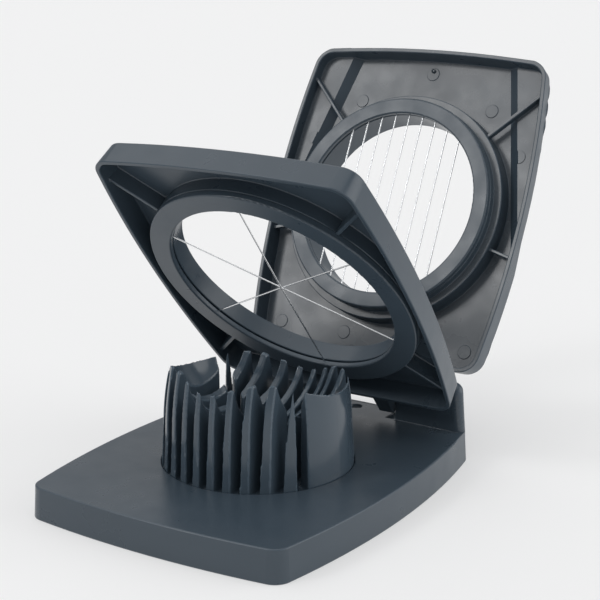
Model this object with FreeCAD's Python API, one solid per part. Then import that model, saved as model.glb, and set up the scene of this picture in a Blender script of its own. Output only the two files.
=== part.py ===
import FreeCAD, Part
import math
import os

# Two-in-one egg slicer: a base with a slotted egg cradle, and two wire frames on one hinge line.
# Millimetres. X runs along the hinge line, +Y towards the hinge, +Z up.
# The origin is on the cradle's axis, on the table. Frames are made closed, then opened to rest.

# Egg cradle
CRADLE_R = 32.2             # radius at the plate
CRADLE_HEIGHT = 31.7        # top above the plate, on the axis
CRADLE_TILT = 7.4           # degrees, the top falls towards the hinge
SHOULDER_HEIGHT = 15.0      # where the straight wall ends, above the plate
SHOULDER_INSET = 0.8        # lean of the wall up to the shoulder
CROWN_RISE = 5.0            # the curved wall ends this far above the top on the axis
CROWN_INSET = 4.2           # lean of the wall up to the crown
CROWN_BULGE = 0.3           # share of that lean half way up the curved wall
LOBE_RISE = 1.4             # solid sides above the tilted top
LOBE_HALF = 14.4            # half their width along Y
CROSS_BOWL_LENGTH = 67.0    # hollow for an egg lying along X
CROSS_BOWL_DIAMETER = 56.0
CROSS_BOWL_RISE = 9.2       # its centre above the tilted top
LONG_BOWL_LENGTH = 62.0     # hollow for an egg lying along Y
LONG_BOWL_DIAMETER = 40.0
LONG_BOWL_RISE = 0.2
BOWL_SETBACK = 1.0          # both hollows behind the cradle's axis
DIP_R = 35.0                # finger tops dip towards the middle, front and rear
DIP_DEPTH = 3.4
SLOT_SINK = 1.4             # slot floors below the plate's top
FLANGE_WIDTH = 3.3          # flange that holds the cradle under the plate
FLANGE_THICKNESS = 2.0
CRADLE_FIT = 0.15           # radial gap between the cradle and the plate

# Wires and their slots
WIRE_DIAMETER = 0.5
WIRE_REACH = 2.4            # wire held beyond the bore's edge
WIRE_TAIL = 2.6             # bent end, up into the collar
WIRE_FIT = 0.05
SLICE_WIRES = 9
SLICE_PITCH = 5.6
SLOT_WIDTH = 2.7            # at the slot's floor
SLOT_DRAFT = 0.8            # degrees, the slicing slots widen upwards
WEDGE_WIRES = 3
WEDGE_SLOT_FRONT = 1.6      # slot walls from the closed wire's line: room for the wire's arc
WEDGE_SLOT_REAR = 2.2

# Clamp rings and collars
SWING_GAP = 2.2             # slicer bore to cradle
SLICER_RING_WIDTH = 5.8
NEST_GAP = 0.8              # slicer collar to wedger bore
WEDGER_RING_WIDTH = 7.9
RING_THICKNESS = 1.8
RING_EDGE_R = 0.6
RING_FIT = 0.05             # ribs clear of the wedger ring
RING_RECESS = 0.35          # wedger ring's face above its frame's rim
SEAM_HEIGHT = 0.6           # gap from which the wires come out
SEAM_DEPTH = 3.6
COLLAR_DROP = 5.5           # slicer ring's face below its frame's rim
LIP_WIDTH = 3.0             # step round the slicer's collar, level with the rim, its seat on the wedger

# Frames
SIDE_MARGIN = 3.85          # wedger ring to the frame's side, half way along it
FRONT_MARGIN = 10.4         # wedger ring to the line of the front corners
REAR_MARGIN = 8.0
FRAME_REAR_TAPER = 1.0      # half width at the rear corners, less than at the front ones
FRAME_FRONT_BOW = 2.5
FRAME_SIDE_BOW = 4.85
FRAME_REAR_BOW = 0.6
FRAME_CORNER_R = 7.5
WEDGER_HEIGHT = 9.5
SLICER_HEIGHT = 8.6
FRAME_DRAFT = 5.5           # degrees
FRAME_EDGE_R = 1.0
FRAME_WALL = 1.6
FRAME_PLATE = 1.8
PANEL_HALF = 31.0           # raised middle of the slicer's plate, half width at the front corners
PANEL_SPLAY = 13.5          # degrees, it widens towards the hinge
PANEL_STEP = 2.4
PANEL_SLOPE = 3.6           # width of the slope down to the sides
RIB_THICKNESS = 1.2
RIB_RECESS = 2.0            # ribs stop short of the rim
RIB_ANGLE = 45.0            # degrees from the hinge line's direction
SIDE_RIB_ANGLE = 15.0       # the slicer's rear ribs
MARK_DIAMETER = 5.0         # round ejector marks inside the slicer's plate
MARK_RISE = 0.25
MARK_PLACES = ((27.6, -41.6), (43.5, -24.5), (39.0, 48.6), (11.2, 48.8))
CLOSED_GAP = 0.3            # between stacked pieces when closed

# Hinge
HINGE_GAP = 6.7             # frames' rear corners to the hinge line
HINGE_RISE = 12.9           # hinge line above the plate
BLOCK_R = 5.6               # round top of the hinge blocks, about the hinge line
BLOCK_INNER = 19.9          # inner end of each block, from the middle
BLOCK_END_R = 2.5
EAR_R = 4.6
EAR_GAP = 0.4
EAR_DROP = 3.6              # wedger's ears below its top, at the skirt
KNUCKLE_HALF = 8.2          # half width of the slicer's middle knuckle
HEEL_GAP = 2.0              # heel of the wedger's ears above the plate when closed
HEEL_CHAMFER = 5.0
ROD_DIAMETER = 3.0
ROD_FIT = 0.06
ROD_SEAT = 10.0             # rod length inside each block
SNAP_LIP = 0.15             # narrowing of the seats' open side
WEDGER_OPEN = 50.4          # rest angles from closed, degrees
SLICER_OPEN = 116.5

# Base
BASE_FRONT_LEDGE = 0.7      # base beyond the frames' front corners
BASE_REAR_LEDGE = 0.4       # rear corners beyond the hinge line
BASE_FRONT_FLARE = 0.1      # half width at the front corners, more than the frames'
BASE_REAR_TAPER = 1.4       # half width at the rear corners, less than the frames'
BASE_FRONT_BOW = 3.3
BASE_SIDE_BOW = 6.4
BASE_REAR_BOW = 7.1
BASE_CORNER_R = 6.0
BASE_HEIGHT = 11.0
BASE_DRAFT = 0.7
BASE_EDGE_R = 1.2
BASE_WALL = 2.0
BASE_PLATE = 2.4
BASE_RIB_THICKNESS = 1.4
BASE_RIB_DEPTH = 5.0
BASE_RIB_MARGIN = 2.5       # ribs clear of the cradle's flange
WINDOW_WIDTH = 3.5          # windows beside the hinge blocks
WINDOW_LENGTH = 6.0
WINDOW_INSET = 0.8          # windows clear of the blocks
HOLE_DIAMETER = 4.4         # hanging hole behind the cradle
HOLE_SETBACK = 0.5          # hole behind the hinge line

# Worked out from the above
V = FreeCAD.Vector
LEVEL_TOLERANCE = 1e-4
WIRE_R = WIRE_DIAMETER / 2
ROD_R = ROD_DIAMETER / 2

slicer_bore = CRADLE_R + SWING_GAP
slicer_collar = slicer_bore + SLICER_RING_WIDTH
slicer_lip = slicer_collar + LIP_WIDTH
wedger_bore = slicer_collar + NEST_GAP
wedger_collar = wedger_bore + WEDGER_RING_WIDTH

frame_half = wedger_collar + SIDE_MARGIN - FRAME_SIDE_BOW
frame_rear_half = frame_half - FRAME_REAR_TAPER
frame_front = -wedger_collar - FRONT_MARGIN
frame_rear = wedger_collar + REAR_MARGIN

plate_top = BASE_HEIGHT
plate_under = BASE_HEIGHT - BASE_PLATE
hinge_y = frame_rear + HINGE_GAP
hinge_z = plate_top + HINGE_RISE

wedger_rim = plate_top + CLOSED_GAP
wedger_face = wedger_rim + RING_RECESS
slicer_rim = wedger_rim + WEDGER_HEIGHT + CLOSED_GAP
slicer_face = slicer_rim - COLLAR_DROP

slice_places = [(i - (SLICE_WIRES - 1) / 2) * SLICE_PITCH for i in range(SLICE_WIRES)]
wedge_angles = [90.0 - i * 180.0 / WEDGE_WIRES for i in range(WEDGE_WIRES)]

ear_outer = BLOCK_INNER - EAR_GAP
ear_inner = KNUCKLE_HALF + EAR_GAP
ear_root = -HINGE_GAP - FRAME_WALL / 2


def arc(start, middle, end):
    return Part.Arc(V(*start), V(*middle), V(*end)).toShape()


def plan(half_front, half_rear, front, rear, front_bow, side_bow, rear_bow, corner_r):
    """Bowed four-sided outline with round corners, at height 0."""
    side = (half_front + half_rear) / 2 + side_bow
    middle = (front + rear) / 2
    sharp = Part.Wire([
        arc((-half_front, front, 0), (0, front - front_bow, 0), (half_front, front, 0)),
        arc((half_front, front, 0), (side, middle, 0), (half_rear, rear, 0)),
        arc((half_rear, rear, 0), (0, rear + rear_bow, 0), (-half_rear, rear, 0)),
        arc((-half_rear, rear, 0), (-side, middle, 0), (-half_front, front, 0)),
    ])
    return sharp.makeOffset2D(-corner_r).makeOffset2D(corner_r)


def tapered(outline, lean, low, high):
    """Solid on an outline, drawn in by lean from its foot to its top."""
    foot = outline.copy()
    foot.translate(V(0, 0, low))
    top = outline.makeOffset2D(-lean)
    top.translate(V(0, 0, high))
    return Part.makeLoft([foot, top], True, True)


def rounded_at(shape, height, radius):
    """Round every edge that lies at one height."""
    edges = [e for e in shape.Edges
             if max(abs(e.BoundBox.ZMin - height), abs(e.BoundBox.ZMax - height)) < LEVEL_TOLERANCE]
    return shape.makeFillet(radius, edges)


def box(x0, x1, y0, y1, z0, z1):
    return Part.makeBox(x1 - x0, y1 - y0, z1 - z0, V(x0, y0, z0))


def disc(radius, low, high, x=0.0, y=0.0):
    return Part.makeCylinder(radius, high - low, V(x, y, low), V(0, 0, 1))


def tube(outer, inner, low, high):
    return disc(outer, low, high).cut(disc(inner, low, high))


def along_x(radius, x0, x1):
    """Round bar on the hinge line."""
    return Part.makeCylinder(radius, x1 - x0, V(x0, hinge_y, hinge_z), V(1, 0, 0))


def across(outline, x0, x1):
    """Solid from a wire in the YZ plane, from x0 to x1."""
    solid = Part.Face(outline).extrude(V(x1 - x0, 0, 0))
    solid.translate(V(x0, 0, 0))
    return solid


def both_sides(shape):
    """The shape and its mirror image across the middle."""
    return [shape, shape.mirror(V(0, 0, 0), V(1, 0, 0))]


def bent_wire(points):
    start = points[0]
    section = Part.Wire([Part.makeCircle(WIRE_R, start, points[1] - start)])
    return Part.makePolygon(points).makePipeShell([section], True, False, 1)


def opened(shape, angle):
    """Swing a closed frame's piece open about the hinge line."""
    turned = shape.copy()
    turned.rotate(V(0, hinge_y, hinge_z), V(-1, 0, 0), angle)
    return turned


# Base: plate and skirt, hollow from below, with two hinge blocks at the rear
base_front = frame_front - BASE_FRONT_LEDGE
base_rear = hinge_y + BASE_REAR_LEDGE
base_plan = plan(frame_half + BASE_FRONT_FLARE, frame_half - BASE_REAR_TAPER, base_front, base_rear,
                 BASE_FRONT_BOW, BASE_SIDE_BOW, BASE_REAR_BOW, BASE_CORNER_R)
inner_plan = base_plan.makeOffset2D(-BASE_WALL)
block_top = hinge_z + BLOCK_R
block_lean = BASE_DRAFT * block_top / BASE_HEIGHT
base_reach = frame_half + BASE_SIDE_BOW + BASE_WALL


def block_section(radius, foot):
    """Upright section with a round top about the hinge line."""
    front = hinge_y - radius
    rear = hinge_y + radius
    return Part.Wire([
        Part.makeLine(V(0, front, foot), V(0, front, hinge_z)),
        arc((0, front, hinge_z), (0, hinge_y, hinge_z + radius), (0, rear, hinge_z)),
        Part.makeLine(V(0, rear, hinge_z), V(0, rear, foot)),
        Part.makeLine(V(0, rear, foot), V(0, front, foot)),
    ])


def hinge_block():
    """Right block, flush with the skirt, its outer end rounded."""
    block = across(block_section(BLOCK_R, plate_under), BLOCK_INNER, base_reach)
    block = block.common(tapered(base_plan, block_lean, 0, block_top))
    end = [e for e in block.Edges
           if e.BoundBox.XMin > BLOCK_INNER + BLOCK_END_R and e.BoundBox.ZMax > hinge_z + BLOCK_R / 2]
    return block.makeFillet(BLOCK_END_R, end)


def block_hollow():
    """Space inside the right block, outside the pin's seat, open below."""
    core = across(block_section(BLOCK_R - BASE_WALL, 0), BLOCK_INNER + ROD_SEAT + BASE_WALL, base_reach)
    return core.common(tapered(inner_plan, block_lean, 0, block_top))


def rod_seat():
    """Seat in the right block, open to the rear, where the rod snaps in."""
    seat_end = BLOCK_INNER + ROD_SEAT
    half = ROD_R - SNAP_LIP
    mouth = box(BLOCK_INNER, seat_end, hinge_y, hinge_y + 2 * BLOCK_R, hinge_z - half, hinge_z + half)
    return along_x(ROD_R, BLOCK_INNER, seat_end).fuse(mouth)


def base_ribs():
    """Ribs under the plate, in a square round the cradle's flange."""
    offset = CRADLE_R + FLANGE_WIDTH + BASE_RIB_MARGIN
    half = BASE_RIB_THICKNESS / 2
    low = plate_under - BASE_RIB_DEPTH
    far = base_rear + BASE_REAR_BOW
    bars = []
    for place in (-offset, offset):
        bars.append(box(place - half, place + half, -far, far, low, plate_under))
        bars.append(box(-base_reach, base_reach, place - half, place + half, low, plate_under))
    bars = bars[0].multiFuse(bars[1:])
    return bars.common(tapered(inner_plan, BASE_DRAFT, 0, BASE_HEIGHT))


def make_base():
    tray = rounded_at(tapered(base_plan, BASE_DRAFT, 0, BASE_HEIGHT), BASE_HEIGHT, BASE_EDGE_R)
    tray = tray.cut(tapered(inner_plan, BASE_DRAFT, 0, plate_under))
    tray = tray.multiFuse(both_sides(hinge_block()) + [base_ribs()])
    window_outer = BLOCK_INNER - WINDOW_INSET
    window = box(window_outer - WINDOW_WIDTH, window_outer,
                 hinge_y - EAR_R, hinge_y - EAR_R + WINDOW_LENGTH, plate_under, plate_top)
    cuts = both_sides(block_hollow()) + both_sides(window) + both_sides(rod_seat())
    cuts.append(disc(CRADLE_R + CRADLE_FIT, plate_under, plate_top))
    cuts.append(disc(HOLE_DIAMETER / 2, plate_under, plate_top, 0, hinge_y + HOLE_SETBACK))
    return tray.cut(cuts).removeSplitter()


def egg_hollow(length, diameter, rise):
    """Body of an egg lying along X, its centre above a level top at height 0."""
    half = Part.ArcOfEllipse(Part.Ellipse(V(0, 0, 0), length / 2, diameter / 2), 0, math.pi)
    ends = Part.makeLine(V(-length / 2, 0, 0), V(length / 2, 0, 0))
    egg = Part.Face(Part.Wire([half.toShape(), ends])).revolve(V(0, 0, 0), V(1, 0, 0), 360)
    egg.translate(V(0, 0, rise))
    return egg


def tilted(shape, top):
    """Lay a shape made on a level top on the cradle's tilted one."""
    shape.translate(V(0, BOWL_SETBACK, 0))
    shape.rotate(V(0, 0, 0), V(1, 0, 0), -CRADLE_TILT)
    shape.translate(V(0, 0, top))
    return shape


def slicing_slot(x, reach, floor, crown):
    """Slot along Y with its walls leaning apart upwards."""
    half = SLOT_WIDTH / 2
    half_above = half + (crown - floor) * math.tan(math.radians(SLOT_DRAFT))
    corners = [V(x - half, -reach, floor), V(x + half, -reach, floor),
               V(x + half_above, -reach, crown), V(x - half_above, -reach, crown)]
    return Part.Face(Part.makePolygon(corners + corners[:1])).extrude(V(0, 2 * reach, 0))


def make_cradle():
    """Turned body with a flange, a tilted top and an egg bowl, cut into fingers by the wires' slots."""
    top = plate_top + CRADLE_HEIGHT
    crown = top + CROWN_RISE
    shoulder = plate_top + SHOULDER_HEIGHT
    foot = plate_under - FLANGE_THICKNESS
    flange_r = CRADLE_R + FLANGE_WIDTH
    shoulder_r = CRADLE_R - SHOULDER_INSET
    crown_r = CRADLE_R - CROWN_INSET
    curve_r = shoulder_r - (shoulder_r - crown_r) * CROWN_BULGE
    corners = [V(0, 0, crown), V(0, 0, foot), V(flange_r, 0, foot), V(flange_r, 0, plate_under),
               V(CRADLE_R, 0, plate_under), V(CRADLE_R, 0, plate_top), V(shoulder_r, 0, shoulder)]
    sides = [Part.makeLine(a, b) for a, b in zip(corners, corners[1:])]
    sides.append(arc((shoulder_r, 0, shoulder), (curve_r, 0, (shoulder + crown) / 2), (crown_r, 0, crown)))
    sides.append(Part.makeLine(V(crown_r, 0, crown), V(0, 0, crown)))
    body = Part.Face(Part.Wire(sides)).revolve(V(0, 0, 0), V(0, 0, 1), 360)

    reach = flange_r + SLOT_WIDTH
    lobe_front = -LOBE_HALF - BOWL_SETBACK
    lobes = box(-reach, reach, lobe_front, lobe_front + 2 * LOBE_HALF, 0, LOBE_RISE)
    above = tilted(box(-reach, reach, -reach, reach, 0, 2 * CROWN_RISE + reach).cut(lobes), top)
    cross_bowl = egg_hollow(CROSS_BOWL_LENGTH, CROSS_BOWL_DIAMETER, CROSS_BOWL_RISE)
    long_bowl = egg_hollow(LONG_BOWL_LENGTH, LONG_BOWL_DIAMETER, LONG_BOWL_RISE)
    long_bowl.rotate(V(0, 0, 0), V(0, 0, 1), 90)
    floor = plate_top - SLOT_SINK
    dip = Part.makeCylinder(DIP_R, 2 * reach, V(0, -reach, DIP_R - DIP_DEPTH), V(0, 1, 0))
    bowl = tilted(cross_bowl, top).multiFuse([tilted(long_bowl, top), tilted(dip, top)])
    slots = [slicing_slot(x, reach, floor, crown) for x in slice_places]
    for angle in wedge_angles[1:]:
        slot = box(-reach, reach, -WEDGE_SLOT_FRONT, WEDGE_SLOT_REAR, floor, crown)
        slot.rotate(V(0, 0, 0), V(0, 0, 1), angle)
        slots.append(slot)
    return body.cut(above).cut(bowl).cut(slots).removeSplitter()


# Frames
frame_plan = plan(frame_half, frame_rear_half, frame_front, frame_rear,
                  FRAME_FRONT_BOW, FRAME_SIDE_BOW, FRAME_REAR_BOW, FRAME_CORNER_R)
frame_inner_plan = frame_plan.makeOffset2D(-FRAME_WALL)


def lean_at(height):
    return height * math.tan(math.radians(FRAME_DRAFT))


def middle_band(half, level):
    """Solid wider towards the hinge and downwards, half its width given at a level, at the front corners."""
    splay = math.tan(math.radians(PANEL_SPLAY))
    front = frame_front - 2 * FRAME_FRONT_BOW
    spread = (level - slicer_rim) * PANEL_SLOPE / PANEL_STEP
    ends = []
    for z, extra in ((slicer_rim, spread), (level, 0)):
        front_half = half + extra + (front - frame_front) * splay
        rear_half = half + extra + (hinge_y - frame_front) * splay
        corners = [V(-front_half, front, z), V(front_half, front, z),
                   V(rear_half, hinge_y, z), V(-rear_half, hinge_y, z)]
        ends.append(Part.makePolygon(corners + corners[:1]))
    return Part.makeLoft(ends, True, True)


def tray_solid(rim, height):
    outer = tapered(frame_plan, lean_at(height), rim, rim + height)
    return rounded_at(outer, rim + height, FRAME_EDGE_R)


def tray_space(rim, height):
    return tapered(frame_inner_plan, lean_at(height), rim, rim + height)


def skirt_ribs(rim, height, inner_r, angles):
    """Ribs from the collar to the skirt."""
    far = math.hypot(frame_half, frame_front)
    ribs = []
    for angle in angles:
        rib = box(inner_r, far, -RIB_THICKNESS / 2, RIB_THICKNESS / 2, rim + RIB_RECESS, rim + height)
        rib.rotate(V(0, 0, 0), V(0, 0, 1), angle)
        ribs += both_sides(rib.common(tray_space(rim, height)))
    return ribs


def ear(points, x0, x1):
    """Arm in the YZ plane, points from the hinge line, with a round knuckle."""
    corners = [V(0, hinge_y + y, hinge_z + z) for y, z in points]
    arm = across(Part.makePolygon(corners + corners[:1]), x0, x1)
    return arm.fuse(along_x(EAR_R, x0, x1))


def ear_bore(x0, x1):
    return along_x(ROD_R + ROD_FIT, x0, x1)


def clamp_ring(bore, outer, face):
    """Ring under a collar, with a step that leaves the seam for the wires."""
    ring = tube(outer, bore, face, face + RING_THICKNESS)
    ring = rounded_at(ring, face, RING_EDGE_R)
    land = tube(outer, bore + SEAM_DEPTH, face + RING_THICKNESS, face + RING_THICKNESS + SEAM_HEIGHT)
    return ring.fuse(land).removeSplitter()


def wire_level(face):
    return face + RING_THICKNESS + SEAM_HEIGHT / 2


def slicing_wires():
    level = wire_level(slicer_face)
    wires = []
    for x in slice_places:
        half = math.sqrt((slicer_bore + WIRE_REACH) ** 2 - x ** 2)
        wires.append([V(x, -half, level + WIRE_TAIL), V(x, -half, level), V(x, half, level),
                      V(x, half, level + WIRE_TAIL)])
    return wires


def wedge_wires():
    """Wires through the axis; they pass over each other there."""
    level = wire_level(wedger_face)
    half = wedger_bore + WIRE_REACH
    wires = []
    for i, angle in enumerate(wedge_angles):
        way = V(math.cos(math.radians(angle)), math.sin(math.radians(angle)), 0)
        crossing = (i - (WEDGE_WIRES - 1) / 2) * (WIRE_DIAMETER + WIRE_FIT)
        near = way * -half + V(0, 0, level)
        far = way * half + V(0, 0, level)
        up = V(0, 0, WIRE_TAIL)
        wires.append([near + up, near, V(0, 0, level + crossing), far, far + up])
    return wires


def tail_holes(wires):
    holes = []
    for points in wires:
        for end in (points[0], points[-1]):
            holes.append(disc(WIRE_R + WIRE_FIT, end.z - WIRE_TAIL, end.z + WIRE_FIT, end.x, end.y))
    return holes


def wedger_ears():
    """Two wide ears whose heels come down near the plate, the inner heel corners cut off."""
    heel = HEEL_GAP - HINGE_RISE
    high = wedger_rim + WEDGER_HEIGHT - EAR_DROP - hinge_z
    points = [(ear_root, heel), (ear_root, high), (-EAR_R, 0), (EAR_R, 0), (EAR_R, heel)]
    right = ear(points, ear_inner, ear_outer)
    foot = hinge_z + heel
    start = hinge_y + ear_root + FRAME_WALL
    corners = [V(ear_inner, start, foot), V(ear_inner + HEEL_CHAMFER, start, foot),
               V(ear_inner, start, foot + HEEL_CHAMFER)]
    corner = Part.Face(Part.makePolygon(corners + corners[:1])).extrude(V(0, EAR_R + hinge_y - start, 0))
    return both_sides(right.cut(corner))


def make_wedger():
    top = wedger_rim + WEDGER_HEIGHT
    under = top - FRAME_PLATE
    depth = WEDGER_HEIGHT - FRAME_PLATE
    shell = tray_solid(wedger_rim, WEDGER_HEIGHT).cut(tray_space(wedger_rim, depth))
    collar = disc(wedger_collar, wedger_face + RING_THICKNESS + SEAM_HEIGHT, under)
    ribs = skirt_ribs(wedger_rim, depth, wedger_collar - RIB_THICKNESS, (-RIB_ANGLE, RIB_ANGLE))
    frame = shell.multiFuse([collar] + ribs + wedger_ears())
    cuts = [disc(wedger_bore, wedger_rim, top),
            disc(wedger_collar + RING_FIT, wedger_rim, wedger_face + RING_THICKNESS + SEAM_HEIGHT)]
    cuts += both_sides(ear_bore(ear_inner, ear_outer)) + tail_holes(wedge_wires())
    return frame.cut(cuts).removeSplitter()


def slicer_knuckle():
    """One ear in the middle, between the wedger's ears."""
    low = slicer_rim + RIB_RECESS - hinge_z
    high = slicer_rim + SLICER_HEIGHT - FRAME_EDGE_R - hinge_z
    return ear([(ear_root, low), (ear_root, high), (0, EAR_R), (0, low)], -KNUCKLE_HALF, KNUCKLE_HALF)


def ejector_marks(level):
    """Round marks standing below a plate's underside, at their places and in the front middle."""
    marks = [disc(MARK_DIAMETER / 2, level - MARK_RISE, level, 0, frame_front + MARK_DIAMETER)]
    for x, y in MARK_PLACES:
        marks += both_sides(disc(MARK_DIAMETER / 2, level - MARK_RISE, level, x, y))
    return marks


def make_slicer():
    """Its plate stands higher in the middle, and its collar is stepped."""
    side_height = SLICER_HEIGHT - PANEL_STEP
    side_under = slicer_rim + side_height - FRAME_PLATE
    top = slicer_rim + SLICER_HEIGHT
    band_under = top - FRAME_PLATE
    band = tapered(frame_plan, lean_at(SLICER_HEIGHT), slicer_rim, top).common(middle_band(PANEL_HALF, top))
    band = rounded_at(band, top, FRAME_EDGE_R)
    shell = tray_solid(slicer_rim, side_height).fuse(band)
    inside = middle_band(PANEL_HALF, band_under)
    band_space = tray_space(slicer_rim, SLICER_HEIGHT - FRAME_PLATE).common(inside)
    shell = shell.cut([tray_space(slicer_rim, side_height - FRAME_PLATE), band_space])
    seam_top = slicer_face + RING_THICKNESS + SEAM_HEIGHT
    collar = disc(slicer_lip, slicer_rim, band_under).common(inside)
    collar = collar.fuse(disc(slicer_lip, slicer_rim, side_under))
    nose = disc(slicer_collar, seam_top, slicer_rim)
    ribs = skirt_ribs(slicer_rim, side_height - FRAME_PLATE, slicer_lip - RIB_THICKNESS,
                      (-RIB_ANGLE, SIDE_RIB_ANGLE))
    marks = [mark.common(inside) for mark in ejector_marks(band_under)]
    marks += [mark.cut(inside) for mark in ejector_marks(side_under)]
    added = [collar, nose, slicer_knuckle()] + ribs + [mark for mark in marks if mark.Solids]
    cuts = [disc(slicer_bore, slicer_face, top), ear_bore(-KNUCKLE_HALF, KNUCKLE_HALF)]
    return shell.multiFuse(added).cut(cuts + tail_holes(slicing_wires())).removeSplitter()


rod_half = BLOCK_INNER + ROD_SEAT
parts = {
    "base_tray": make_base(),
    "egg_cradle": make_cradle(),
    "hinge_rod": along_x(ROD_R, -rod_half, rod_half),
    "wedger_frame": opened(make_wedger(), WEDGER_OPEN),
    "wedger_ring": opened(clamp_ring(wedger_bore, wedger_collar, wedger_face), WEDGER_OPEN),
    "slicer_frame": opened(make_slicer(), SLICER_OPEN),
    "slicer_ring": opened(clamp_ring(slicer_bore, slicer_collar, slicer_face), SLICER_OPEN),
}
for number, points in enumerate(wedge_wires(), 1):
    parts[f"wedge_wire_{number}"] = opened(bent_wire(points), WEDGER_OPEN)
for number, points in enumerate(slicing_wires(), 1):
    parts[f"slicing_wire_{number}"] = opened(bent_wire(points), SLICER_OPEN)

os.makedirs("parts", exist_ok=True)
for name, shape in parts.items():
    print(name, len(shape.Solids), shape.isValid(), round(shape.Volume, 1))
    shape.exportStep(f"parts/{name}.step")
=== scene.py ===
import math
import bpy
from mathutils import Matrix, Vector
from mathutils.bvhtree import BVHTree
from mathutils.kdtree import KDTree


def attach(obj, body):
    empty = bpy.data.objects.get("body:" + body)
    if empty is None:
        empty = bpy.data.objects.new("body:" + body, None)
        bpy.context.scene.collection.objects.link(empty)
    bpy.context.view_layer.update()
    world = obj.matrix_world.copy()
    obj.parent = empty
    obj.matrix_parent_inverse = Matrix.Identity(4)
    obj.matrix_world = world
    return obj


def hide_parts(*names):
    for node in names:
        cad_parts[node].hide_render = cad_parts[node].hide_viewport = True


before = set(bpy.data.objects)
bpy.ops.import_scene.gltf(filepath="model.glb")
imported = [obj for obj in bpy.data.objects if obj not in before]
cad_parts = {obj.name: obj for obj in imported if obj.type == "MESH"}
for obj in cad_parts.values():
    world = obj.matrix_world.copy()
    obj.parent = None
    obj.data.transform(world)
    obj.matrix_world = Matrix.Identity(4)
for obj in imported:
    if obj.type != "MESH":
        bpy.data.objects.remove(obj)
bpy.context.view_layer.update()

# Camera: a long lens to the right of the front edge and a little above the upper frame's middle,
# turned down just enough to see the whole base plate.
# It looks along one straight direction with no shift.
AZIMUTH = math.radians(32.66)
ELEVATION = math.radians(14.79)
EYE = Vector((0.27109, -0.39707, 0.19262))
back = Vector((math.sin(AZIMUTH) * math.cos(ELEVATION),
               -math.cos(AZIMUTH) * math.cos(ELEVATION),
               math.sin(ELEVATION)))
right = Vector((math.cos(AZIMUTH), math.sin(AZIMUTH), 0.0))
up = back.cross(right)
bpy.ops.object.select_all(action="DESELECT")
bpy.ops.object.camera_add(location=EYE)
camera = bpy.context.object
camera.matrix_world = Matrix.Translation(EYE) @ Matrix((right, up, back)).transposed().to_4x4()
camera.data.lens = 91.44
camera.data.sensor_width = 36.0
camera.data.clip_end = 20.0
bpy.context.scene.camera = camera
bpy.context.scene.view_settings.view_transform = "Standard"

# Studio: a light table of white sheet under the object, which glows a little so that shadows stay pale.
# A light tent stands over it: its cloth glows all round, its roof, walls and one small window more strongly.
# Sheet and light are only a stage; they are not part of the object.
bpy.ops.mesh.primitive_plane_add(size=16.0, location=(0, 0, 0))
paper_sheet = bpy.context.object
paper_sheet.name = "studio_table"
paper = bpy.data.materials.new("white_sheet")
paper.use_nodes = True
paper_shader = paper.node_tree.nodes["Principled BSDF"]
paper_shader.inputs["Base Color"].default_value = (0.48, 0.48, 0.48, 1)
paper_shader.inputs["Roughness"].default_value = 0.9
paper_shader.inputs["Specular IOR Level"].default_value = 0.0
paper_shader.inputs["Emission Color"].default_value = (1, 1, 1, 1)
paper_shader.inputs["Emission Strength"].default_value = 0.42
paper_sheet.data.materials.append(paper)

world = bpy.data.worlds.new("tent_air")
bpy.context.scene.world = world
world.use_nodes = True
world.node_tree.nodes["Background"].inputs["Color"].default_value = (0.95, 0.97, 1.0, 1)
world.node_tree.nodes["Background"].inputs["Strength"].default_value = 0.32


def tent_wall(name, azimuth, elevation, spread, strength):
    """Broad light far off, its direction from the front (0) round to the right (90), in degrees."""
    bpy.ops.object.light_add(type="SUN", location=(0, 0, 1))
    lamp = bpy.context.object
    lamp.name = name
    lamp.data.angle = math.radians(spread)
    lamp.data.energy = strength
    turn, rise = math.radians(azimuth), math.radians(elevation)
    towards = Vector((math.sin(turn) * math.cos(rise), -math.cos(turn) * math.cos(rise), math.sin(rise)))
    lamp.rotation_euler = towards.to_track_quat("Z", "Y").to_euler()


tent_wall("roof", -60, 75, 90, 1.45)
tent_wall("front_left_window", -35, 34, 16, 0.40)
tent_wall("right_wall", 85, 15, 50, 0.35)
tent_wall("rear_right_wall", 125, 22, 45, 0.85)
tent_wall("rear_left_wall", -147, 14, 40, 0.10)

# Base: one moulding of dark slate ABS, plate, skirt and hinge blocks together, hollow from below.
# Its surfaces have the fine satin grain of the mould and all its edges are a little rounded.
# It stands on the rim of its skirt.
SLATE = (0.045, 0.064, 0.083)
PLATE_TOP = 0.011
SKIRT_TOP = 0.0097
BASE_EDGE = 0.0004
SHARP_TURN = math.radians(55)
SMOOTH_TURN = math.radians(50)
FACET_TURN = math.radians(15)
SAME_PLACE = 2e-6
SAME_PLANE = math.radians(0.05)


def arc_middle(start, end, start_normal, end_normal):
    """Middle of the arc between two points of a rounding, and the normal there."""
    turn = start_normal.angle(end_normal)
    across = (end - start).dot(end_normal - start_normal) / 2
    bulge = across * (1 - math.cos(turn / 2)) / (1 - math.cos(turn))
    normal = (start_normal + end_normal).normalized()
    return (start + end) / 2 + normal * bulge, normal


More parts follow.
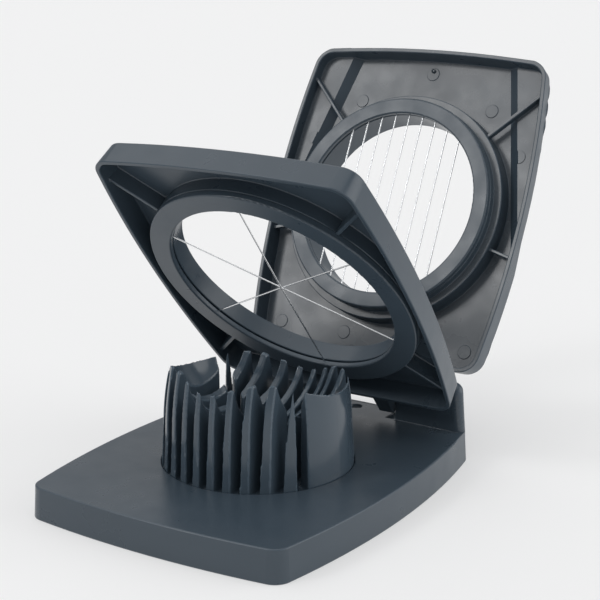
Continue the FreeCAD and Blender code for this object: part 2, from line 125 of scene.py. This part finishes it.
def with_full_roundings(node, largest_turn=FACET_TURN):
    """Joined mesh of a node; facets that cut straight across a rounding are divided and set on its arc."""
    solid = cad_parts[node].data
    divisions, same_direction = 3, 0.999
    places, points, facets = {}, [], []
    for face in solid.polygons:
        facet = []
        for i in face.loop_indices:
            point = solid.vertices[solid.loops[i].vertex_index].co
            place = tuple(round(c * 1e6) for c in point)
            if place not in places:
                places[place] = len(points)
                points.append(point.copy())
            facet.append((places[place], solid.corner_normals[i].vector.copy()))
        if len({corner for corner, _ in facet}) == 3:
            facets.append(facet)
    for division in range(divisions):
        sides = {}
        for facet in facets:
            for (a, at_a), (b, at_b) in zip(facet, facet[1:] + facet[:1]):
                sides.setdefault((min(a, b), max(a, b)), []).append((at_a, at_b) if a < b else (at_b, at_a))
        middles = {}
        for (a, b), normals in sides.items():
            joined = len(normals) == 2 and all(p.dot(q) > same_direction for p, q in zip(*normals))
            if joined and normals[0][0].angle(normals[0][1], 0.0) > largest_turn:
                middle, normal = arc_middle(points[a], points[b], *normals[0])
                middles[a, b] = (len(points), normal)
                points.append(middle)
        divided = []
        for facet in facets:
            ring = []
            for corner, following in zip(facet, facet[1:] + facet[:1]):
                ring.append(corner)
                side = tuple(sorted((corner[0], following[0])))
                if side in middles:
                    ring.append(middles[side])
            if len(ring) == 6:
                divided.append([ring[1], ring[3], ring[5]])
                divided.extend([ring[k], ring[k + 1], ring[k - 1]] for k in (0, 2, 4))
            else:
                first = next((k for k, corner in enumerate(ring) if corner not in facet), 0)
                ring = ring[first:] + ring[:first]
                divided.extend([ring[0], ring[k], ring[k + 1]] for k in range(1, len(ring) - 1))
        facets = divided
    mesh = bpy.data.meshes.new(node)
    mesh.from_pydata(points, [], [[corner for corner, _ in facet] for facet in facets], shade_flat=False)
    mesh.normals_split_custom_set([normal for facet in facets for _, normal in facet])
    return mesh


def sharp_edges(mesh, edge):
    """Share of the rounding that each edge can take: 0 for a smooth one, less than 1 beside a narrow face."""
    face_share = 0.42
    faces_of = {}
    for face in mesh.polygons:
        face.use_smooth = True
        for key in face.edge_keys:
            faces_of.setdefault(key, []).append(face)
    shares = [0.0] * len(mesh.edges)
    for line in mesh.edges:
        beside = faces_of.get(line.key, [])
        if len(beside) == 2 and beside[0].normal.angle(beside[1].normal, 0.0) > SHARP_TURN:
            start, end = (mesh.vertices[i].co for i in line.vertices)
            room = min(face.area for face in beside) / max((end - start).length, 1e-6)
            shares[line.index] = min(1.0, face_share * room / edge)
    return shares


def linked(name, mesh):
    """New object of a mesh, in the scene."""
    piece = bpy.data.objects.new(name, mesh)
    bpy.context.scene.collection.objects.link(piece)
    return piece


def take_up(piece):
    """Make a piece the only selected one, and the active one."""
    bpy.ops.object.select_all(action="DESELECT")
    piece.select_set(True)
    bpy.context.view_layer.objects.active = piece


def skin_tree(mesh):
    """Search tree of a mesh's faces."""
    return BVHTree.FromPolygons([v.co for v in mesh.vertices], [f.vertices for f in mesh.polygons])


def rounded(piece, shares, edge):
    """Trial or final skin of a piece, each edge rounded by its share."""
    skin = linked(piece.name, piece.data.copy())
    weights = skin.data.attributes.new("bevel_weight_edge", "FLOAT", "EDGE")
    weights.data.foreach_set("value", shares)
    bevel = skin.modifiers.new("mould_rounding", "BEVEL")
    bevel.limit_method = "WEIGHT"
    bevel.width = edge
    bevel.segments = 2
    bevel.use_clamp_overlap = False
    # Rounding faces take the second material, the lighter slate of the painted edge highlight.
    bevel.material = 1
    take_up(skin)
    bpy.ops.object.modifier_apply(modifier=bevel.name)
    return skin


def folded_places(piece, skin, edge):
    """Where a rounded skin folds over or leaves the piece's faces, as points."""
    faces = skin_tree(piece.data)
    around, face_apart, point_apart = 1.2 * edge, 0.5 * edge, 0.6 * edge
    least_area, least_facing = 1e-13, 0.2
    places = []
    for face in skin.data.polygons:
        apart = faces.find_nearest(face.center)[3]
        near = faces.find_nearest_range(face.center, around)
        facing = max((face.normal.dot(hit[1]) for hit in near), default=1.0)
        if apart > face_apart or (face.area > least_area and facing < least_facing):
            places.append(face.center.copy())
    for vertex in skin.data.vertices:
        if faces.find_nearest(vertex.co)[3] > point_apart:
            places.append(vertex.co.copy())
    return places


def shade_like(skin, solid, kept, mapping):
    """Give the kept vertices of a skin the shading of its solid, then remove the solid."""
    as_made = skin.vertex_groups.new(name="as_made")
    as_made.add(kept, 1.0, "REPLACE")
    shading = skin.modifiers.new("shading_of_the_solid", "DATA_TRANSFER")
    shading.object = solid
    shading.use_loop_data = True
    shading.data_types_loops = {"CUSTOM_NORMAL"}
    shading.loop_mapping = mapping
    shading.vertex_group = as_made.name
    bpy.ops.object.modifier_apply(modifier=shading.name)
    skin.vertex_groups.clear()
    bpy.data.objects.remove(solid)


def moulded_copy(node, name, edge, plastic, highlight_material, crisp=None):
    """Copy of a node as one closed skin, its sharp edges rounded except where they are too cramped.

    Between the two heights of crisp, a broad rounding is squared up first."""
    if crisp is None:
        joined = with_full_roundings(node)
    else:
        joined = with_full_roundings(node, largest_turn=math.pi)
        low, high = crisp
        for vertex in joined.vertices:
            if low < vertex.co.z < high:
                vertex.co.z = high
    solid = linked(name + "_solid", joined)
    piece = linked(name, joined.copy())
    piece.data.materials.append(plastic)
    piece.data.materials.append(highlight_material)
    take_up(piece)
    bpy.ops.object.mode_set(mode="EDIT")
    bpy.ops.mesh.select_all(action="SELECT")
    bpy.ops.mesh.customdata_custom_splitnormals_clear()
    bpy.ops.mesh.remove_doubles(threshold=SAME_PLACE)
    bpy.ops.mesh.dissolve_limited(angle_limit=SAME_PLANE)
    bpy.ops.object.mode_set(mode="OBJECT")
    mesh = piece.data
    shares = sharp_edges(mesh, edge)
    trials, spoiled_reach = 2, 2 * edge
    for trial in range(trials):
        skin = rounded(piece, shares, edge)
        places = folded_places(piece, skin, edge)
        bpy.data.objects.remove(skin)
        spoiled = KDTree(len(places))
        for i, place in enumerate(places):
            spoiled.insert(place, i)
        spoiled.balance()
        for line in mesh.edges:
            if places and shares[line.index] > 0:
                start, end = (mesh.vertices[i].co for i in line.vertices)
                steps = max(1, int((end - start).length / spoiled_reach))
                if min(spoiled.find(start.lerp(end, k / steps))[2] for k in range(steps + 1)) < spoiled_reach:
                    shares[line.index] = 0.0
    skin = rounded(piece, shares, edge)
    faces = skin_tree(mesh)
    on_edges = {i for face in skin.data.polygons if face.material_index == 1 for i in face.vertices}
    # Convex rounding faces keep that painted edge highlight; concave ones go back to the plain slate.
    for face in skin.data.polygons:
        place, normal, _, _ = faces.find_nearest(face.center)
        if face.material_index == 1 and (face.center - place).dot(normal) > 0:
            face.material_index = 0
    bpy.data.objects.remove(piece)
    skin.name = name
    bpy.ops.object.shade_smooth_by_angle(angle=SMOOTH_TURN)
    flatter = skin.modifiers.new("flat_faces_stay_flat", "WEIGHTED_NORMAL")
    flatter.weight = 100
    flatter.keep_sharp = True
    bpy.ops.object.modifier_apply(modifier=flatter.name)
    kept = [v.index for v in skin.data.vertices if v.index not in on_edges]
    shade_like(skin, solid, kept, "NEAREST_POLYNOR")
    return skin


def mould_finish():
    """Effects of the mould's surface: fine grain, slow mottling and faint drawn rubbing."""
    group = bpy.data.node_groups.new("mould_finish", "ShaderNodeTree")
    group.interface.new_socket("Grain Scale", in_out="INPUT", socket_type="NodeSocketFloat")
    group.interface.new_socket("Smoothest", in_out="INPUT", socket_type="NodeSocketFloat")
    group.interface.new_socket("Roughest", in_out="INPUT", socket_type="NodeSocketFloat")
    group.interface.new_socket("Dark", in_out="INPUT", socket_type="NodeSocketColor")
    group.interface.new_socket("Light", in_out="INPUT", socket_type="NodeSocketColor")
    group.interface.new_socket("Color", in_out="OUTPUT", socket_type="NodeSocketColor")
    group.interface.new_socket("Roughness", in_out="OUTPUT", socket_type="NodeSocketFloat")
    group.interface.new_socket("Height", in_out="OUTPUT", socket_type="NodeSocketFloat")
    nodes, links = group.nodes, group.links
    given = nodes.new("NodeGroupInput")
    out = nodes.new("NodeGroupOutput")
    place = nodes.new("ShaderNodeTexCoord")

    grain = nodes.new("ShaderNodeTexNoise")
    grain.inputs["Detail"].default_value = 3.0
    grain.inputs["Roughness"].default_value = 0.65
    links.new(place.outputs["Object"], grain.inputs["Vector"])
    links.new(given.outputs["Grain Scale"], grain.inputs["Scale"])
    links.new(grain.outputs["Fac"], out.inputs["Height"])

    mottle = nodes.new("ShaderNodeTexNoise")
    mottle.inputs["Scale"].default_value = 38.0
    mottle.inputs["Detail"].default_value = 4.0
    mottle.inputs["Roughness"].default_value = 0.55
    links.new(place.outputs["Object"], mottle.inputs["Vector"])
    tint = nodes.new("ShaderNodeMix")
    tint.data_type = "RGBA"
    links.new(mottle.outputs["Fac"], tint.inputs["Factor"])
    links.new(given.outputs["Dark"], tint.inputs["A"])
    links.new(given.outputs["Light"], tint.inputs["B"])
    links.new(tint.outputs["Result"], out.inputs["Color"])

    rub = nodes.new("ShaderNodeTexNoise")
    rub.inputs["Scale"].default_value = 120.0
    rub.inputs["Detail"].default_value = 5.0
    links.new(place.outputs["Object"], rub.inputs["Vector"])
    both = nodes.new("ShaderNodeMath")
    both.operation = "ADD"
    links.new(mottle.outputs["Fac"], both.inputs[0])
    links.new(rub.outputs["Fac"], both.inputs[1])
    spread = nodes.new("ShaderNodeMapRange")
    spread.inputs["From Min"].default_value = 0.7
    spread.inputs["From Max"].default_value = 1.3
    links.new(given.outputs["Smoothest"], spread.inputs["To Min"])
    links.new(given.outputs["Roughest"], spread.inputs["To Max"])
    links.new(both.outputs["Value"], spread.inputs["Value"])
    links.new(spread.outputs["Result"], out.inputs["Roughness"])
    return group


finish_of_mould = mould_finish()


def slate_plastic(name, tone, grain_depth, gloss=(0.25, 0.38), scuff_and_sheen_tint=None):
    """Slate ABS, lighter or darker by its tone.

    Gloss is its least and most roughness; a pale tint, when given, stands for its scuffs and for painted
    sheen."""
    material = bpy.data.materials.new(name)
    material.use_nodes = True
    nodes, links = material.node_tree.nodes, material.node_tree.links
    shader = nodes["Principled BSDF"]
    surface = nodes.new("ShaderNodeGroup")
    surface.node_tree = finish_of_mould
    surface.inputs["Grain Scale"].default_value = 2600.0
    surface.inputs["Smoothest"].default_value, surface.inputs["Roughest"].default_value = gloss
    surface.inputs["Dark"].default_value = (*(c * tone * 0.90 for c in SLATE), 1)
    surface.inputs["Light"].default_value = (*(scuff_and_sheen_tint or (c * tone * 1.12 for c in SLATE)), 1)
    links.new(surface.outputs["Color"], shader.inputs["Base Color"])
    links.new(surface.outputs["Roughness"], shader.inputs["Roughness"])
    relief = nodes.new("ShaderNodeBump")
    relief.inputs["Strength"].default_value = 0.18
    relief.inputs["Distance"].default_value = grain_depth
    links.new(surface.outputs["Height"], relief.inputs["Height"])
    links.new(relief.outputs["Normal"], shader.inputs["Normal"])
    return material


def dress(piece, node, body):
    """Put a piece in its node's place, hiding the node, and on its body."""
    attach(piece, body)
    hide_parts(node)


base_plastic = slate_plastic("base_slate", tone=1.0, grain_depth=0.00003)
# A lighter copy of the slate on the faces of convex edge roundings paints a highlight along the edges of
# base, frames and rings.
painted_edge_highlight = slate_plastic("painted_edge_highlight", tone=1.15, grain_depth=0.00002)
base = moulded_copy("base_tray", "base_moulding", BASE_EDGE, base_plastic, painted_edge_highlight,
                    crisp=(SKIRT_TOP, PLATE_TOP))
dress(base, "base_tray", "base")

# Cradle: a second moulding pushed up through the plate, cut into fingers by the slots for the wires.
# Same slate ABS; its fingers end in rounded edges so that they don't mark the egg.
# A flange under the plate holds it.
CRADLE_GLOSS = (0.12, 0.22)
# The cradle's slate is a quarter lighter than the base's: partly its own lighter tone, partly painted light
# for the light its lobes catch.
cradle_plastic = slate_plastic("cradle_slate", tone=1.25, grain_depth=0.00001, gloss=CRADLE_GLOSS)
# A much lighter copy of the cradle's slate paints the highlights along the fingers' rounded edges.
painted_finger_highlight = slate_plastic("painted_finger_highlight", tone=1.7, grain_depth=0.00001, gloss=CRADLE_GLOSS)
CELL = 0.0003
MOST_FACETS = 180000
EDGE_TURN = math.radians(10)
ALL_OVER_ROUNDS = 8
EDGE_ROUNDS = 40


def settle(piece, rounds, places=""):
    """Even out a melted skin, all over or only at the places of a vertex group."""
    settled = piece.modifiers.new("settled", "SMOOTH")
    settled.factor = 0.5
    settled.iterations = rounds
    settled.vertex_group = places
    bpy.ops.object.modifier_apply(modifier=settled.name)


def melted_places(piece, faces):
    """Vertices that left the solid's faces at an edge, and those of them that lie inside it."""
    edges, highlight_points = [], set()
    for vertex in piece.data.vertices:
        place, normal, _, _ = faces.find_nearest(vertex.co)
        if vertex.normal.dot(normal) < math.cos(EDGE_TURN):
            edges.append(vertex.index)
            if (vertex.co - place).dot(normal) < 0:
                highlight_points.add(vertex.index)
    return edges, highlight_points


def softened_copy(node, name, cell, plastic, highlight_material):
    """Copy of a node with every edge melted to a soft rounding, a few cells wide."""
    solid = linked(name + "_solid", with_full_roundings(node))
    piece = linked(name, solid.data.copy())
    take_up(piece)
    melted = piece.modifiers.new("melted", "REMESH")
    melted.mode = "VOXEL"
    melted.voxel_size = cell
    bpy.ops.object.modifier_apply(modifier=melted.name)
    faces = skin_tree(solid.data)
    settle(piece, ALL_OVER_ROUNDS)
    edges, _ = melted_places(piece, faces)
    along_edges = piece.vertex_groups.new(name="along_edges")
    along_edges.add(edges, 1.0, "REPLACE")
    settle(piece, EDGE_ROUNDS, along_edges.name)
    piece.vertex_groups.clear()
    thinned = piece.modifiers.new("thinned", "DECIMATE")
    thinned.ratio = min(1.0, MOST_FACETS / (2 * len(piece.data.polygons)))
    bpy.ops.object.modifier_apply(modifier=thinned.name)
    bpy.ops.object.shade_smooth()
    piece.data.materials.clear()
    piece.data.materials.append(plastic)
    piece.data.materials.append(highlight_material)
    edges, highlight_points = melted_places(piece, faces)
    # Faces lying wholly on convex melted edges take the second material, a lighter slate that paints a
    # highlight along the finger edges.
    for face in piece.data.polygons:
        face.material_index = int(highlight_points.issuperset(face.vertices))
    kept = sorted({v.index for v in piece.data.vertices} - set(edges))
    shade_like(piece, solid, kept, "POLYINTERP_NEAREST")
    return piece


cradle = softened_copy("egg_cradle", "cradle_moulding", CELL, cradle_plastic, painted_finger_highlight)
dress(cradle, "egg_cradle", "base")

# Hinge rod: a straight bright steel rod, cut from drawn bar, snapped into its seats in the hinge blocks.
# Only its ends show, from behind.
STEEL = (0.86, 0.87, 0.88)


def drawn_steel(name):
    """Bright drawn stainless steel with fine marks from the die."""
    material = bpy.data.materials.new(name)
    material.use_nodes = True
    nodes, links = material.node_tree.nodes, material.node_tree.links
    shader = nodes["Principled BSDF"]
    shader.inputs["Metallic"].default_value = 1.0
    place = nodes.new("ShaderNodeTexCoord")
    marks = nodes.new("ShaderNodeTexNoise")
    marks.inputs["Scale"].default_value = 900.0
    marks.inputs["Detail"].default_value = 2.0
    links.new(place.outputs["Object"], marks.inputs["Vector"])
    tint = nodes.new("ShaderNodeMix")
    tint.data_type = "RGBA"
    tint.inputs["A"].default_value = (*(c * 0.9 for c in STEEL), 1)
    tint.inputs["B"].default_value = (*(c * 1.1 for c in STEEL), 1)
    links.new(marks.outputs["Fac"], tint.inputs["Factor"])
    links.new(tint.outputs["Result"], shader.inputs["Base Color"])
    gloss = nodes.new("ShaderNodeMapRange")
    gloss.inputs["To Min"].default_value = 0.18
    gloss.inputs["To Max"].default_value = 0.32
    links.new(marks.outputs["Fac"], gloss.inputs["Value"])
    links.new(gloss.outputs["Result"], shader.inputs["Roughness"])
    return material


wire_steel = drawn_steel("drawn_steel")
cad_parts["hinge_rod"].data.materials.clear()
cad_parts["hinge_rod"].data.materials.append(wire_steel)

# Lower frame: a tray-shaped moulding with a collar, ribs in its corners and two hinge ears.
# Slate ABS like the base.
# A flat ring is welded under its collar and clamps the three crossing wires.
wedger_plastic = slate_plastic("wedger_slate", tone=1.0, grain_depth=0.00003)
FRAME_EDGE = 0.0003
RING_EDGE = 0.00025
wedger = moulded_copy("wedger_frame", "wedger_moulding", FRAME_EDGE, wedger_plastic, painted_edge_highlight)
dress(wedger, "wedger_frame", "wedger")
wedger_ring = moulded_copy("wedger_ring", "wedger_clamp_ring", RING_EDGE, wedger_plastic, painted_edge_highlight)
dress(wedger_ring, "wedger_ring", "wedger")

# Upper frame: a tray with a raised middle panel, a stepped collar, ribs, ejector marks and one hinge knuckle.
# Slate ABS like the base.
# Its own flat ring clamps the nine parallel wires.
slicer_plastic = slate_plastic("slicer_slate", tone=1.0, grain_depth=0.00003)
# Pale mottled slate for the flat inside of the plate: partly scuffs, partly painted sheen of light on the
# panel.
scuffed_and_sheen_plastic = slate_plastic("scuffed_and_sheen_slate", tone=1.0, grain_depth=0.00003,
                                gloss=(0.22, 0.34), scuff_and_sheen_tint=(0.128, 0.139, 0.150))
OPENED = math.radians(116.5)
INSIDE = Vector((0, -math.sin(OPENED), -math.cos(OPENED)))
FLAT_INSIDE = 0.99
slicer = moulded_copy("slicer_frame", "slicer_moulding", FRAME_EDGE, slicer_plastic, painted_edge_highlight)
slicer.data.materials.append(scuffed_and_sheen_plastic)
# Flat faces of the plate's inside take the pale slate, partly scuffs and partly painted sheen.
for face in slicer.data.polygons:
    if face.normal.dot(INSIDE) > FLAT_INSIDE:
        face.material_index = 2
dress(slicer, "slicer_frame", "slicer")
slicer_ring = moulded_copy("slicer_ring", "slicer_clamp_ring", RING_EDGE, slicer_plastic, painted_edge_highlight)
dress(slicer_ring, "slicer_ring", "slicer")

# Gate scar: the stub of plastic left where the upper frame was filled, a low nub with a broken, sunken top.
# It stands on the inside of the plate, on the mark nearest the frame's free edge.
SCAR_RADIUS = 0.0008
SCAR_HEIGHT = 0.0007
RIM_WIDTH, RIM_DEPTH, RIM_SOFTNESS = SCAR_RADIUS * 0.3, SCAR_HEIGHT * 0.35, SCAR_RADIUS * 0.12
TEAR_WIDTH, TEAR_DEPTH, TEAR_SHIFT = SCAR_RADIUS * 0.25, SCAR_HEIGHT * 0.2, SCAR_RADIUS * 0.1
SCAR_MIDDLE = SCAR_HEIGHT * 0.4
ABOVE_MARK = 0.01
FREE_EDGE_MARK = Vector((0, 0.1201, 0.1288))
_, foot, _, _ = slicer.ray_cast(FREE_EDGE_MARK + INSIDE * ABOVE_MARK, -INSIDE)
bpy.ops.object.select_all(action="DESELECT")
bpy.ops.mesh.primitive_cylinder_add(vertices=20, radius=SCAR_RADIUS, depth=SCAR_HEIGHT)
scar = bpy.context.object
scar.name = "slicer_gate_scar"
bpy.ops.object.mode_set(mode="EDIT")
bpy.ops.mesh.select_all(action="DESELECT")
bpy.ops.object.mode_set(mode="OBJECT")
for face in scar.data.polygons:
    face.select = face.normal.z > 0.9
bpy.ops.object.mode_set(mode="EDIT")
bpy.ops.mesh.inset(thickness=RIM_WIDTH)
bpy.ops.transform.translate(value=(0, 0, -RIM_DEPTH))
bpy.ops.mesh.inset(thickness=TEAR_WIDTH)
bpy.ops.transform.translate(value=(TEAR_SHIFT, 0, -TEAR_DEPTH))
bpy.ops.object.mode_set(mode="OBJECT")
softened = scar.modifiers.new("soft_rim", "BEVEL")
softened.width = RIM_SOFTNESS
softened.segments = 2
bpy.ops.object.modifier_apply(modifier=softened.name)
bpy.ops.object.shade_smooth_by_angle(angle=math.radians(40))
scar.data.transform(INSIDE.to_track_quat("Z", "X").to_matrix().to_4x4())
scar.data.transform(Matrix.Translation(foot + INSIDE * SCAR_MIDDLE))
# The nub's slate is a fifth darker, painted shade for the dark spot of its sunken top.
scar.data.materials.append(slate_plastic("shaded_scar_slate", tone=0.8, grain_depth=0.00002, gloss=(0.08, 0.16)))
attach(scar, "slicer")

# Wires: half-millimetre stainless wire, drawn bright, stretched across the bores.
# Their ends are bent up into the collars and held by the rings.
for name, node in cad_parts.items():
    if "_wire_" in name:
        node.data.materials.clear()
        node.data.materials.append(wire_steel)
